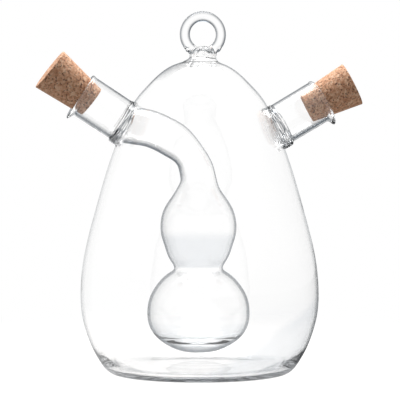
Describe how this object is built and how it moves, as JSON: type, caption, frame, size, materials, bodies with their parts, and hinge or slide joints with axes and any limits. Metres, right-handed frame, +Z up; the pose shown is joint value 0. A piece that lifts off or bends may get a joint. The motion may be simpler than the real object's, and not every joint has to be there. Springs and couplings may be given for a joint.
{
  "type": "oil and vinegar cruet",
  "caption": "Clear glass oil and vinegar cruet: a pear-shaped vessel with a double-bulb flask hung inside, a corked spout on each shoulder and a glass loop on top.",
  "frame": {"origin": "centre of the round foot, on the surface that the cruet stands on", "axes": "+Z up along the vessel's axis, +X towards the right spout, +Y to the back"},
  "size_m": [0.1481, 0.107, 0.1631],
  "materials": {
    "glass": "clear, smooth, flame-worked",
    "cork": "natural cork, matt, with fine pores"
  },
  "bodies": {
    "glass": {"outer_vessel": "glass", "inner_flask": "glass", "left_spout": "glass", "right_spout": "glass", "left_ring_seal": "glass", "right_ring_seal": "glass", "top_finial": "glass", "hanging_loop": "glass"},
    "left_cork": {"left_cork": "cork"},
    "right_cork": {"right_cork": "cork"}
  },
  "joints": [
    {"name": "left_cork_pull", "type": "slide", "parent": "glass", "child": "left_cork", "axis": [-0.7906, -0.0401, 0.611], "range_m": [0, 0.03]},
    {"name": "right_cork_pull", "type": "slide", "parent": "glass", "child": "right_cork", "axis": [0.8802, -0.1305, 0.4563], "range_m": [0, 0.03]}
  ]
}
